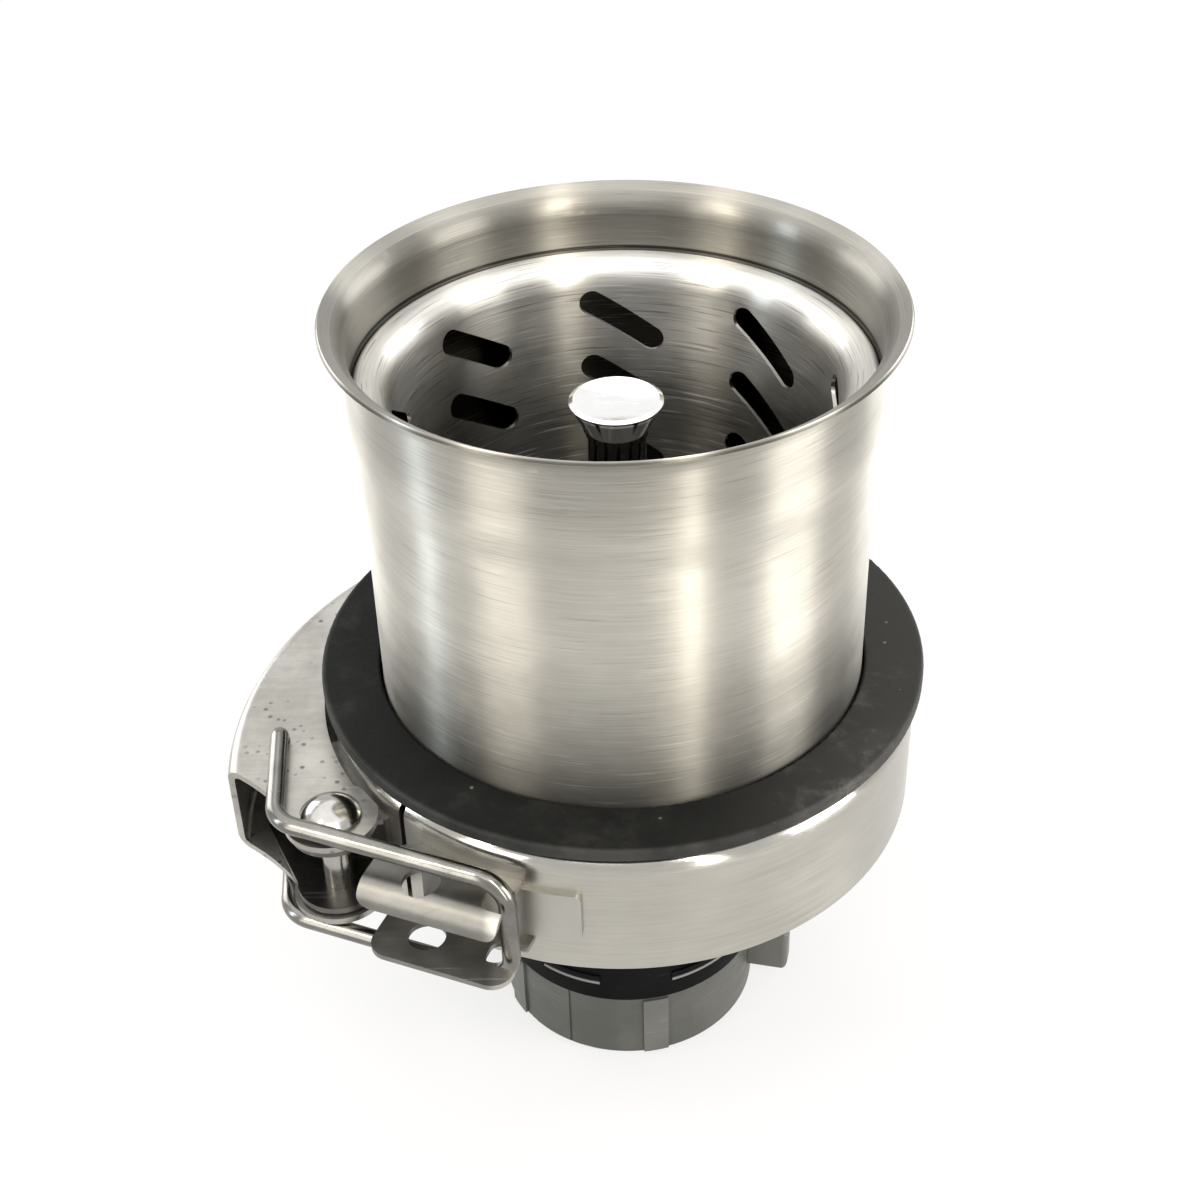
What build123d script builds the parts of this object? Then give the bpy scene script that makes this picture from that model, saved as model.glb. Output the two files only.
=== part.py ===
from build123d import *
import math
import os

# A sink basket strainer with a removable slotted basket, a rubber seat gasket, a split
# clamp band closed by an over-centre lever with a wire bail, and a black plastic outlet
# with a coupling nut. Millimetres, +Z up. The origin is on the drain's axis, on the
# nut's bottom face. Angles round the axis are measured from the front (-Y) towards +X.

# Clearances
RUNNING = 0.08          # a pin or rivet in a hole that turns on it
SEATED = 0.05           # flat faces of pieces that slide over each other
LOOSE = 0.4             # curved faces of pieces that move past each other
TIGHT = 0.02            # a shank in the hole that it is set in
SAME_PLACE = 1e-6       # points nearer than this are one point

# Strainer body
TUBE_RADIUS = 55.0
STEP_WIDTH = 1.2
STEP_HEIGHT = 7.0
STEP_DROP = 21.5
STEP_BEND = 20.0
RIM_FLARE = 4.7
RIM_TOP = 192.0
RIM_FLARE_HEIGHT = 3.4
RIM_BEND = 5.0
BODY_SHEET = 0.9
FLANGE_WIDTH = 8.5
FLANGE_BEND = 3.0

# Clamp band
BAND_STAND = 12.3
BAND_BOTTOM = 67.5
BAND_TOP = 99.5
BAND_SHEET = 1.2
BAND_TOP_LIP = 9.0
BAND_BOTTOM_LIP = 6.0
BAND_TOP_BEND = 4.0
BAND_BOTTOM_BEND = 2.0
SPLIT_ANGLE = -45.3
SPLIT_GAP = 1.6

# Gasket on the band's shoulder, and the seal between the body's flange and the outlet
GASKET_OVERHANG = 1.6
GASKET_LIFT = 2.4
GASKET_UNDERCUT = 3.0
GASKET_HEIGHT = 5.0
GASKET_GAP = 0.6
GASKET_ROUND = 0.6
SEAL_HEIGHT = 4.0

# Basket
BASKET_SKIRT = 7.0
BASKET_SHELF = 6.7
BASKET_TAPER = 4.1
BASKET_DEPTH = 65.5
BASKET_SHEET = 0.8
BASKET_SHOULDER = 5.6
BASKET_FOOT_BEND = 8.0
BASKET_LIP_DROP = 1.0
SLOT_LENGTH = 22.0
SLOT_WIDTH = 5.8
SLOT_SLANT = 33.0
SLOT_COUNT = 8
SLOT_ROWS = 3
SLOT_ROW_DROP = 14.1
SLOT_PITCH = 16.0
SLOT_FIRST_ANGLE = -2.0
FLOOR_HOLE_RADIUS = 4.0
FLOOR_HOLE_COUNT = 8
FLOOR_HOLE_CIRCLE = 24.0

# Lifting post, knob and the screw that holds the post
POST_RADIUS = 6.3
POST_DROP = 16.1
KNOB_RADIUS = 10.1
KNOB_HEIGHT = 8.2
KNOB_EDGE = 0.9
KNOB_DISH = 0.6
KNOB_NECK_RADIUS = 6.7
KNOB_COLLAR = 1.2
KNOB_SPIGOT_RADIUS = 3.0
KNOB_SPIGOT_LENGTH = 10.0
SCREW_RADIUS = 2.5
SCREW_LENGTH = 14.0
SCREW_HEAD_RADIUS = 4.6
SCREW_HEAD_HEIGHT = 2.8
SCREW_DRIVE_WIDTH = 1.2
SCREW_DRIVE_DEPTH = 1.3
SCREW_WASHER_RADIUS = 8.0
SCREW_WASHER_HEIGHT = 1.2

# Latch, in plan: the rivet's place, and the line of the wire's straight leg. Along and
# across are measured from the rivet, along that line and outwards from it.
RIVET_STAND = 10.66
RIVET_ANGLE = -54.29
LEG_ANGLE = -22.0
LEG_OFFSET = 8.2
BIGHT_ALONG = 45.2
EYE_ALONG = -22.4
EYE_ACROSS = -18.1
LEG_BEND_ALONG = -8.9

# Latch, sheet and rivet
LATCH_DROP = 0.25
LEVER_HEIGHT = 22.7
LEVER_SHEET = 1.5
LEVER_FOLD = 3.0
LEVER_BACK_X = 3.3
LEVER_BACK_Y = -18.2
LEVER_BACK_STAND = 25.0
LEVER_GAP = 2.0
LEVER_EAR_RADIUS = 10.2
LEVER_TAIL_Y = 47.0
LEVER_CORNER_ALONG = -29.2
LEVER_CORNER_ACROSS = -5.6
LEVER_BULGE = 2.5
BRACKET_SHEET = 1.5
BRACKET_EAR_RADIUS = 9.2
BRACKET_WING_ALONG = -23.6
BRACKET_WING_ACROSS = -9.9
BRACKET_START = -74.0
BRACKET_END = -49.0
RIVET_RADIUS = 3.2
RIVET_HEAD_RADIUS = 6.6
RIVET_HEAD_EDGE = 0.8
RIVET_DOME = 3.1
RIVET_TAIL_RADIUS = 4.8
RIVET_TAIL_HEIGHT = 2.2
WASHER_RADIUS = 7.2
WASHER_HEIGHT = 0.6

# Wire bail
WIRE_RADIUS = 2.0
WIRE_LIFT = 0.6
WIRE_EYE_REACH = 1.3
WIRE_EYE_BEND = 2.5
WIRE_LEG_BEND = 8.0
WIRE_BIGHT_BEND = 6.5

# Catch bracket
CATCH_SHEET = 1.3
CATCH_HEIGHT = 17.4
CATCH_START = -40.0
CATCH_END = -24.0
CATCH_TAB_END = -8.0
CATCH_TAB_HEIGHT = 13.0
CATCH_TAB_LIFT = 1.0
CATCH_TAB_ROUND = 1.5
EAR_START = 13.4
EAR_SKEW = 3.0
EAR_UPPER_END = 45.4
EAR_UPPER_REACH = 15.3
EAR_LIP = 5.4
EAR_LIP_BEND = 3.8
EAR_LIP_ROUND = 3.2
EAR_LOWER_START = 14.9
EAR_LOWER_END = 47.4
EAR_LOWER_REACH = 17.3
EAR_ROUND = 4.6
EAR_HOLE_RADIUS = 4.1
EAR_HOLE_ALONG = 25.8
EAR_HOLE_ACROSS = 9.0
NOTCH_ROOM = 3.4
NOTCH_WIDTH = 6.8
NOTCH_ROUND = 2.6

# Outlet
CUP_WALL = 4.0
CUP_WAIST_DROP = 1.5
COLLAR_STAND = 0.8
COLLAR_TOP = 44.0
NECK_BORE_RADIUS = 20.6
NECK_WALL = 5.4
LUG_HEIGHT = 2.6
LUG_STAND = 0.5
LUG_LEVEL = 26.8
LUG_SPAN = 26.0
LUG_ANGLES = (-25.5, 31.5, 90.0, 154.5, 211.5, 270.0)

# Coupling nut and its washer
NUT_WALL = 5.4
NUT_HEIGHT = 19.7
NUT_LIP = 4.0
NUT_ROUND = 0.8
GRIP_STAND = 0.7
GRIP_SPAN = 11.0
GRIP_ANGLES = (-60.0, 11.5, 120.0, 191.5)
WING_REACH = 10.0
WING_WIDTH = 6.0
WING_BOTTOM = 8.0
WING_ROUND = 1.5
WING_ANGLES = (77.0, 257.0)
SEAM_ANGLE = -27.5
SEAM_WIDTH = 0.7
SEAM_DEPTH = 0.35
CONE_WASHER_HEIGHT = 4.2
CONE_WASHER_SLOPE = 1.6

# Radii and levels worked out from the sizes above
UPPER_RADIUS = TUBE_RADIUS + STEP_WIDTH
RIM_RADIUS = UPPER_RADIUS + RIM_FLARE
STEP_TOP = RIM_TOP - STEP_DROP
STEP_BOTTOM = STEP_TOP - STEP_HEIGHT
FLANGE_RADIUS = TUBE_RADIUS + FLANGE_WIDTH
BAND_RADIUS = TUBE_RADIUS + BAND_STAND
GASKET_RADIUS = BAND_RADIUS + GASKET_OVERHANG
BASKET_RIM_RADIUS = UPPER_RADIUS - BODY_SHEET - LOOSE
BASKET_RIM_TOP = STEP_TOP + BASKET_SKIRT
BASKET_WALL_TOP_RADIUS = BASKET_RIM_RADIUS - BASKET_SHELF
BASKET_WALL_BOTTOM_RADIUS = BASKET_WALL_TOP_RADIUS - BASKET_TAPER
BASKET_BOTTOM = BASKET_RIM_TOP - BASKET_DEPTH
POST_TOP = BASKET_RIM_TOP - POST_DROP
KNOB_TOP = POST_TOP + KNOB_HEIGHT
LATCH_MIDDLE = (BAND_TOP + BAND_BOTTOM) / 2 - LATCH_DROP
LEVER_BACK_RADIUS = BAND_RADIUS + LEVER_BACK_STAND
CUP_RADIUS = BAND_RADIUS - BAND_SHEET - LOOSE
CUP_BORE_RADIUS = TUBE_RADIUS - BODY_SHEET
NECK_RADIUS = NECK_BORE_RADIUS + NECK_WALL
NECK_BOTTOM = NUT_LIP + LOOSE + CONE_WASHER_HEIGHT
NUT_RADIUS = NECK_RADIUS + LOOSE + NUT_WALL
COLLAR_RADIUS = NUT_RADIUS + COLLAR_STAND
LIP_UNDERSIDE = BAND_TOP - BAND_SHEET
FLANGE_TOP = LIP_UNDERSIDE - SEATED
SEAL_TOP = FLANGE_TOP - BODY_SHEET
CUP_TOP = SEAL_TOP - SEAL_HEIGHT
LEVER_TOP = LATCH_MIDDLE + LEVER_HEIGHT / 2
LEVER_BOTTOM = LATCH_MIDDLE - LEVER_HEIGHT / 2
BRACKET_TOP = LEVER_TOP - LEVER_SHEET - SEATED - WASHER_HEIGHT
BRACKET_BOTTOM = LEVER_BOTTOM + LEVER_SHEET + SEATED + WASHER_HEIGHT
CATCH_TOP = LATCH_MIDDLE + CATCH_HEIGHT / 2
CATCH_BOTTOM = LATCH_MIDDLE - CATCH_HEIGHT / 2
LEG_TOP = LEVER_TOP + WIRE_LIFT + WIRE_RADIUS
LEG_BOTTOM = LEVER_BOTTOM - WIRE_LIFT - WIRE_RADIUS
BASKET_FLOOR_TOP = BASKET_BOTTOM + BASKET_SHEET


def on_circle(radius, angle, z=0.0):
    """A point at a radius and an angle from the front."""
    turn = math.radians(angle)
    return Vector(radius * math.sin(turn), -radius * math.cos(turn), z)


def latch_point(along, across, z=0.0):
    """A point measured from the rivet, along the wire's leg and outwards from it."""
    turn = math.radians(LEG_ANGLE)
    x = along * math.cos(turn) + across * math.sin(turn)
    y = along * math.sin(turn) - across * math.cos(turn)
    return on_circle(BAND_RADIUS + RIVET_STAND, RIVET_ANGLE, z) + Vector(x, y, 0)


def drop_half_way(width, height):
    """How far a shallow dome has fallen from its top, half way to its edge."""
    radius = (width ** 2 + height ** 2) / (2 * height)
    return radius - math.sqrt(radius ** 2 - (width / 2) ** 2)


def rounded(points, radii):
    """Straight runs through the points, with each inner corner rounded by its radius."""
    edges = []
    start = points[0]
    for corner, radius, before, after in zip(points[1:-1], radii, points[:-2], points[2:]):
        back = (before - corner).normalized()
        ahead = (after - corner).normalized()
        half = math.radians(back.get_angle(ahead)) / 2
        reach = radius / math.tan(half)
        first = corner + back * reach
        last = corner + ahead * reach
        middle = corner + (back + ahead).normalized() * (radius / math.sin(half) - radius)
        if (first - start).length > SAME_PLACE:
            edges.append(Line(start, first))
        edges.append(ThreePointArc(first, middle, last))
        start = last
    if (points[-1] - start).length > SAME_PLACE:
        edges.append(Line(start, points[-1]))
    return edges


def shifted(points, distance):
    """The points of a bent line in the XZ plane, moved sideways by a distance."""
    sides = []
    for first, last in zip(points[:-1], points[1:]):
        run = (last - first).normalized()
        sides.append(Vector(-run.Z, 0, run.X))
    moved = [points[0] + sides[0] * distance]
    for point, left, right in zip(points[1:-1], sides[:-1], sides[1:]):
        moved.append(point + (left + right) * (distance / (1 + left.dot(right))))
    moved.append(points[-1] + sides[-1] * distance)
    return moved


def sheet_section(profile, bends, sheet):
    """The cross-section of a bent sheet, whose middle runs through the profile's points."""
    points = [Vector(radius, 0, height) for radius, height in profile]
    left_radii = []
    right_radii = []
    for before, corner, after, bend in zip(points[:-2], points[1:-1], points[2:], bends):
        turn = (corner - before).cross(after - corner).Y
        inner = bend - sheet / 2
        outer = bend + sheet / 2
        left_radii.append(inner if turn < 0 else outer)
        right_radii.append(outer if turn < 0 else inner)
    left = shifted(points, sheet / 2)
    right = shifted(points, -sheet / 2)
    edges = rounded(left, left_radii)
    edges.append(Line(left[-1], right[-1]))
    edges += rounded(right[::-1], right_radii[::-1])
    edges.append(Line(right[0], left[0]))
    return Face(Wire(edges))


def sheet_ring(profile, bends, sheet):
    """A ring of bent sheet from (radius, height) points."""
    return revolve(sheet_section(profile, bends, sheet), Axis.Z)


def turned(profile):
    """A solid turned about the axis from (radius, height) points."""
    points = [Vector(radius, 0, height) for radius, height in profile]
    return revolve(Face(Polyline(points, close=True).wire()), Axis.Z)


def ring(inner, outer, bottom, height):
    """A plain ring that stands on a level."""
    blank = Cylinder(outer, height, align=(Align.CENTER, Align.CENTER, Align.MIN))
    hole = Cylinder(inner, height, align=(Align.CENTER, Align.CENTER, Align.MIN))
    return Pos(0, 0, bottom) * (blank - hole)


def rod(radius, bottom, top, at=Vector(0, 0, 0)):
    """An upright rod between two levels."""
    blank = Cylinder(radius, top - bottom, align=(Align.CENTER, Align.CENTER, Align.MIN))
    return Pos(at.X, at.Y, bottom) * blank


def plate(points, bottom, height):
    """A flat plate from corner points."""
    outline = Polyline([Vector(point.X, point.Y, bottom) for point in points], close=True)
    return extrude(Face(outline.wire()), amount=height, dir=(0, 0, 1))


def sector(inner, outer, start, end, bottom, height):
    """Part of a ring between two angles from the front."""
    angles = (start, (start + end) / 2, end)
    far = [on_circle(outer, angle, bottom) for angle in angles]
    near = [on_circle(inner, angle, bottom) for angle in reversed(angles)]
    edges = [
        ThreePointArc(*far),
        Line(far[-1], near[0]),
        ThreePointArc(*near),
        Line(near[-1], far[0]),
    ]
    return extrude(Face(Wire(edges)), amount=height, dir=(0, 0, 1))


def latch_frame():
    """Where the latch's own axes lie: X outwards, Y along the wire's leg, Z up."""
    return Pos(latch_point(0, 0)) * Rot(0, 0, LEG_ANGLE - 90)


def make_strainer_body():
    """The pressed tube: flared rim, step that carries the basket, and clamping flange."""
    half = BODY_SHEET / 2
    profile = [
        (FLANGE_RADIUS, FLANGE_TOP - half),
        (TUBE_RADIUS - half, FLANGE_TOP - half),
        (TUBE_RADIUS - half, STEP_BOTTOM),
        (UPPER_RADIUS - half, STEP_TOP),
        (UPPER_RADIUS - half, RIM_TOP - RIM_FLARE_HEIGHT),
        (RIM_RADIUS - half, RIM_TOP - half),
    ]
    bends = (FLANGE_BEND, STEP_BEND, STEP_BEND, RIM_BEND)
    return sheet_ring(profile, bends, BODY_SHEET)


def make_gasket():
    """The rubber ring: its outer edge stands clear of the band's rounded shoulder."""
    inner = TUBE_RADIUS + GASKET_GAP
    top = BAND_TOP + GASKET_HEIGHT
    gasket = turned([
        (inner, BAND_TOP),
        (GASKET_RADIUS - GASKET_UNDERCUT, BAND_TOP),
        (GASKET_RADIUS, BAND_TOP + GASKET_LIFT),
        (GASKET_RADIUS, top),
        (inner, top),
    ])
    return fillet(gasket.faces().sort_by(Axis.Z)[-1].edges(), GASKET_ROUND)


def make_flange_seal():
    return ring(TUBE_RADIUS + TIGHT, FLANGE_RADIUS, CUP_TOP, SEAL_HEIGHT)


def make_clamp_band():
    """A split channel ring whose lips hold the body's flange down on the outlet."""
    half = BAND_SHEET / 2
    wall = BAND_RADIUS - half
    profile = [
        (BAND_RADIUS - BAND_TOP_LIP, BAND_TOP - half),
        (wall, BAND_TOP - half),
        (wall, BAND_BOTTOM + half),
        (BAND_RADIUS - BAND_BOTTOM_LIP, BAND_BOTTOM + half),
    ]
    band = sheet_ring(profile, (BAND_TOP_BEND - half, BAND_BOTTOM_BEND - half), BAND_SHEET)
    height = BAND_TOP - BAND_BOTTOM
    gap = Box(SPLIT_GAP, BAND_RADIUS, height, align=(Align.CENTER, Align.MAX, Align.MIN))
    return band - Pos(0, 0, BAND_BOTTOM) * Rot(0, 0, SPLIT_ANGLE) * Pos(0, -BAND_RADIUS / 2, 0) * gap


def make_basket():
    """The lift-out basket: a rim with a short skirt, a tapered slotted wall and a floor."""
    half = BASKET_SHEET / 2
    skirt = BASKET_RIM_RADIUS - half
    top = BASKET_RIM_TOP - half
    floor = BASKET_BOTTOM + half
    profile = [
        (skirt, STEP_TOP),
        (skirt, top),
        (BASKET_WALL_TOP_RADIUS - half, top - BASKET_LIP_DROP),
        (BASKET_WALL_BOTTOM_RADIUS - half, floor),
        (SCREW_RADIUS + TIGHT, floor),
    ]
    shell = sheet_ring(profile, (BASKET_SHEET, BASKET_SHOULDER, BASKET_FOOT_BEND), BASKET_SHEET)
    slope = BASKET_TAPER / BASKET_DEPTH
    cuts = []
    for row in range(SLOT_ROWS):
        height = BASKET_RIM_TOP - SLOT_ROW_DROP - row * SLOT_PITCH
        radius = BASKET_WALL_BOTTOM_RADIUS + slope * (height - BASKET_BOTTOM)
        depth = BASKET_TAPER + SLOT_WIDTH
        outline = SlotOverall(SLOT_LENGTH, SLOT_WIDTH, rotation=-SLOT_SLANT)
        blank = extrude(Plane.XZ * outline, amount=depth, both=True)
        for place in range(SLOT_COUNT):
            angle = SLOT_FIRST_ANGLE + 360 / SLOT_COUNT * place
            cuts.append(Rot(0, 0, angle) * Pos(0, radius, height) * blank)
    for place in range(FLOOR_HOLE_COUNT):
        spot = on_circle(FLOOR_HOLE_CIRCLE, 360 / FLOOR_HOLE_COUNT * place)
        cuts.append(rod(FLOOR_HOLE_RADIUS, BASKET_BOTTOM, BASKET_FLOOR_TOP, spot))
    return shell - cuts


def make_post():
    post = rod(POST_RADIUS, BASKET_FLOOR_TOP, POST_TOP)
    thread = rod(SCREW_RADIUS + TIGHT, BASKET_FLOOR_TOP, BASKET_FLOOR_TOP + SCREW_LENGTH)
    socket = rod(KNOB_SPIGOT_RADIUS + TIGHT, POST_TOP - KNOB_SPIGOT_LENGTH, POST_TOP)
    return post - thread - socket


def make_knob():
    """A turned mushroom knob with a dished top, a collar and a spigot."""
    profile = [
        (0, KNOB_TOP),
        (KNOB_RADIUS - KNOB_EDGE, KNOB_TOP),
        (KNOB_RADIUS, KNOB_TOP - KNOB_EDGE / 2),
        (KNOB_RADIUS, KNOB_TOP - KNOB_EDGE),
        (KNOB_NECK_RADIUS, POST_TOP + KNOB_COLLAR),
        (KNOB_NECK_RADIUS, POST_TOP),
        (KNOB_SPIGOT_RADIUS, POST_TOP),
        (KNOB_SPIGOT_RADIUS, POST_TOP - KNOB_SPIGOT_LENGTH),
        (0, POST_TOP - KNOB_SPIGOT_LENGTH),
    ]
    width = KNOB_RADIUS - KNOB_EDGE
    middle = Vector(0, 0, KNOB_TOP - KNOB_DISH)
    half_way = middle + Vector(width / 2, 0, drop_half_way(width, KNOB_DISH))
    rim = Vector(width, 0, KNOB_TOP)
    centre = Vector(0, 0, KNOB_TOP)
    dish = Face(Wire([ThreePointArc(middle, half_way, rim), Line(rim, centre), Line(centre, middle)]))
    return turned(profile) - revolve(dish, Axis.Z)


def make_post_washer():
    bottom = BASKET_BOTTOM - SCREW_WASHER_HEIGHT
    return ring(SCREW_RADIUS + TIGHT, SCREW_WASHER_RADIUS, bottom, SCREW_WASHER_HEIGHT)


def make_post_screw():
    seat = BASKET_BOTTOM - SCREW_WASHER_HEIGHT
    shank = rod(SCREW_RADIUS, seat, BASKET_FLOOR_TOP + SCREW_LENGTH)
    head = rod(SCREW_HEAD_RADIUS, seat - SCREW_HEAD_HEIGHT, seat)
    head = fillet(head.faces().sort_by(Axis.Z)[0].edges(), SCREW_HEAD_HEIGHT / 2)
    drive = Box(SCREW_HEAD_RADIUS * 2, SCREW_DRIVE_WIDTH, SCREW_DRIVE_DEPTH * 2)
    return shank + head - Pos(0, 0, seat - SCREW_HEAD_HEIGHT) * drive


def make_pivot_bracket():
    """The folded bracket on the band's left end, with two ears that the rivet passes."""
    inner = BAND_RADIUS
    outer = BAND_RADIUS + BRACKET_SHEET
    height = BRACKET_TOP - BRACKET_BOTTOM
    bracket = sector(inner, outer, BRACKET_START, BRACKET_END, BRACKET_BOTTOM, height)
    rivet = latch_point(0, 0)
    wing = latch_point(BRACKET_WING_ALONG, BRACKET_WING_ACROSS)
    edge = (wing - rivet).normalized()
    side = Vector(-edge.Y, edge.X, 0) * BRACKET_EAR_RADIUS
    root_left = on_circle(inner + BRACKET_SHEET / 2, BRACKET_START)
    root_right = on_circle(inner + BRACKET_SHEET / 2, BRACKET_END)
    tip = rivet + (root_right - rivet).normalized() * BRACKET_EAR_RADIUS
    front = rivet + side
    back = wing + (root_left - wing).normalized() * BRACKET_SHEET
    for level in (BRACKET_BOTTOM, BRACKET_TOP - BRACKET_SHEET):
        ear = rod(BRACKET_EAR_RADIUS, level, level + BRACKET_SHEET, rivet)
        web = plate([root_left, back, wing, front, rivet, tip, root_right], level, BRACKET_SHEET)
        bracket = bracket + ear + web
    bracket = bracket - rod(inner, BRACKET_BOTTOM, BRACKET_TOP)
    return bracket - rod(RIVET_RADIUS + TIGHT, BRACKET_BOTTOM, BRACKET_TOP, rivet)


def make_rivet():
    """The pivot rivet: a domed head above the lever and a flat tail below it."""
    seat = LEVER_TOP + SEATED
    foot = LEVER_BOTTOM - SEATED
    edge = seat + RIVET_HEAD_EDGE
    top = Vector(0, 0, edge + RIVET_DOME)
    bulge = top + Vector(RIVET_HEAD_RADIUS / 2, 0, -drop_half_way(RIVET_HEAD_RADIUS, RIVET_DOME))
    rim = Vector(RIVET_HEAD_RADIUS, 0, edge)
    middle = Vector(0, 0, edge)
    dome = Face(Wire([ThreePointArc(top, bulge, rim), Line(rim, middle), Line(middle, top)]))
    head = revolve(dome, Axis.Z) + rod(RIVET_HEAD_RADIUS, seat, edge)
    shank = rod(RIVET_RADIUS, foot, seat)
    tail = rod(RIVET_TAIL_RADIUS, foot - RIVET_TAIL_HEIGHT, foot)
    tail = fillet(tail.faces().sort_by(Axis.Z)[0].edges(), RIVET_TAIL_HEIGHT / 2)
    return Pos(latch_point(0, 0)) * (head + shank + tail)


def make_rivet_washer(bottom):
    washer = ring(RIVET_RADIUS + TIGHT, WASHER_RADIUS, bottom, WASHER_HEIGHT)
    return Pos(latch_point(0, 0)) * washer


def make_lever():
    """The closing lever: a folded channel that lies round the band, open towards it."""
    rivet = latch_point(0, 0)
    corner = latch_point(LEVER_CORNER_ALONG, LEVER_CORNER_ACROSS)
    front = latch_point(0, LEVER_EAR_RADIUS)
    chord = (front - corner).normalized()
    bulge = (front + corner) / 2 + Vector(-chord.Y, chord.X, 0) * LEVER_BULGE
    left = corner.X - LEVER_BACK_RADIUS
    axis = Vector(0, 0, 0)
    tail = Vector(0, LEVER_TAIL_Y, 0)
    outline = Wire([
        ThreePointArc(corner, bulge, front),
        Line(front, rivet),
        Line(rivet, axis),
        Line(axis, tail),
        Line(tail, Vector(left, LEVER_TAIL_Y, 0)),
        Line(Vector(left, LEVER_TAIL_Y, 0), Vector(left, corner.Y, 0)),
        Line(Vector(left, corner.Y, 0), corner),
    ])
    mask = Pos(0, 0, LEVER_BOTTOM) * extrude(Face(outline), amount=LEVER_HEIGHT, dir=(0, 0, 1))
    back = Vector(LEVER_BACK_X, LEVER_BACK_Y, 0)
    blank = rod(LEVER_BACK_RADIUS, LEVER_BOTTOM, LEVER_TOP, back)
    blank = fillet(blank.edges().filter_by(GeomType.CIRCLE), LEVER_FOLD)
    blank = blank & mask
    blank = blank - rod(BAND_RADIUS + LEVER_GAP, LEVER_BOTTOM, LEVER_TOP)
    inside = rod(LEVER_BACK_RADIUS - LEVER_SHEET, LEVER_BOTTOM + LEVER_SHEET, LEVER_TOP - LEVER_SHEET, back)
    inside = fillet(inside.edges().filter_by(GeomType.CIRCLE), LEVER_FOLD - LEVER_SHEET)
    ears = rod(LEVER_EAR_RADIUS, LEVER_BOTTOM, LEVER_TOP, rivet)
    lever = blank + ears - inside - rod(BAND_RADIUS + LEVER_GAP / 2, LEVER_BOTTOM, LEVER_TOP)
    eye = latch_point(EYE_ALONG, EYE_ACROSS)
    holes = rod(WIRE_RADIUS + RUNNING, LEVER_BOTTOM, LEVER_TOP, eye)
    pivot = rod(RIVET_RADIUS + RUNNING, LEVER_BOTTOM, LEVER_TOP, rivet)
    return lever - holes - pivot


def make_bail():
    """One bent wire: an eye end in each lever flange, two cranked legs and the bight."""
    eye_depth = LEVER_SHEET + WIRE_EYE_REACH
    points = [
        latch_point(EYE_ALONG, EYE_ACROSS, LEVER_TOP - eye_depth),
        latch_point(EYE_ALONG, EYE_ACROSS, LEG_TOP),
        latch_point(LEG_BEND_ALONG, LEG_OFFSET, LEG_TOP),
        latch_point(BIGHT_ALONG, LEG_OFFSET, LEG_TOP),
        latch_point(BIGHT_ALONG, LEG_OFFSET, LEG_BOTTOM),
        latch_point(LEG_BEND_ALONG, LEG_OFFSET, LEG_BOTTOM),
        latch_point(EYE_ALONG, EYE_ACROSS, LEG_BOTTOM),
        latch_point(EYE_ALONG, EYE_ACROSS, LEVER_BOTTOM + eye_depth),
    ]
    bends = (WIRE_EYE_BEND, WIRE_LEG_BEND, WIRE_BIGHT_BEND, WIRE_BIGHT_BEND, WIRE_LEG_BEND, WIRE_EYE_BEND)
    path = Wire(rounded(points, bends))
    section = Plane(path @ 0, z_dir=path % 0) * Circle(WIRE_RADIUS)
    return sweep(section, path)


def make_upper_ear():
    """The upper catch ear, with its outer edge bent down into a lip."""
    middle = CATCH_TOP - CATCH_SHEET / 2
    bend_at = EAR_UPPER_REACH - CATCH_SHEET / 2
    profile = [(-BAND_RADIUS, middle), (bend_at, middle), (bend_at, CATCH_TOP - EAR_LIP)]
    section = sheet_section(profile, (EAR_LIP_BEND,), CATCH_SHEET)
    length = EAR_UPPER_END - EAR_START
    ear = Pos(0, EAR_START, 0) * extrude(section, amount=length, dir=(0, 1, 0))
    width = BAND_RADIUS + EAR_UPPER_REACH
    front = Box(width, length, EAR_LIP, align=(Align.MAX, Align.MIN, Align.MAX))
    front = fillet(front.edges().filter_by(Axis.X).group_by(Axis.Z)[0], EAR_LIP_ROUND)
    return ear & Pos(EAR_UPPER_REACH, EAR_START, CATCH_TOP) * front


def make_lower_ear():
    """The lower catch ear: a flat plate with rounded outer corners."""
    width = BAND_RADIUS + EAR_LOWER_REACH
    length = EAR_LOWER_END - EAR_LOWER_START
    ear = Box(width, length, CATCH_SHEET, align=(Align.MAX, Align.MIN, Align.MIN))
    ear = fillet(ear.edges().filter_by(Axis.Z).group_by(Axis.X)[-1], EAR_ROUND)
    return Pos(EAR_LOWER_REACH, EAR_LOWER_START, CATCH_BOTTOM) * ear


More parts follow.
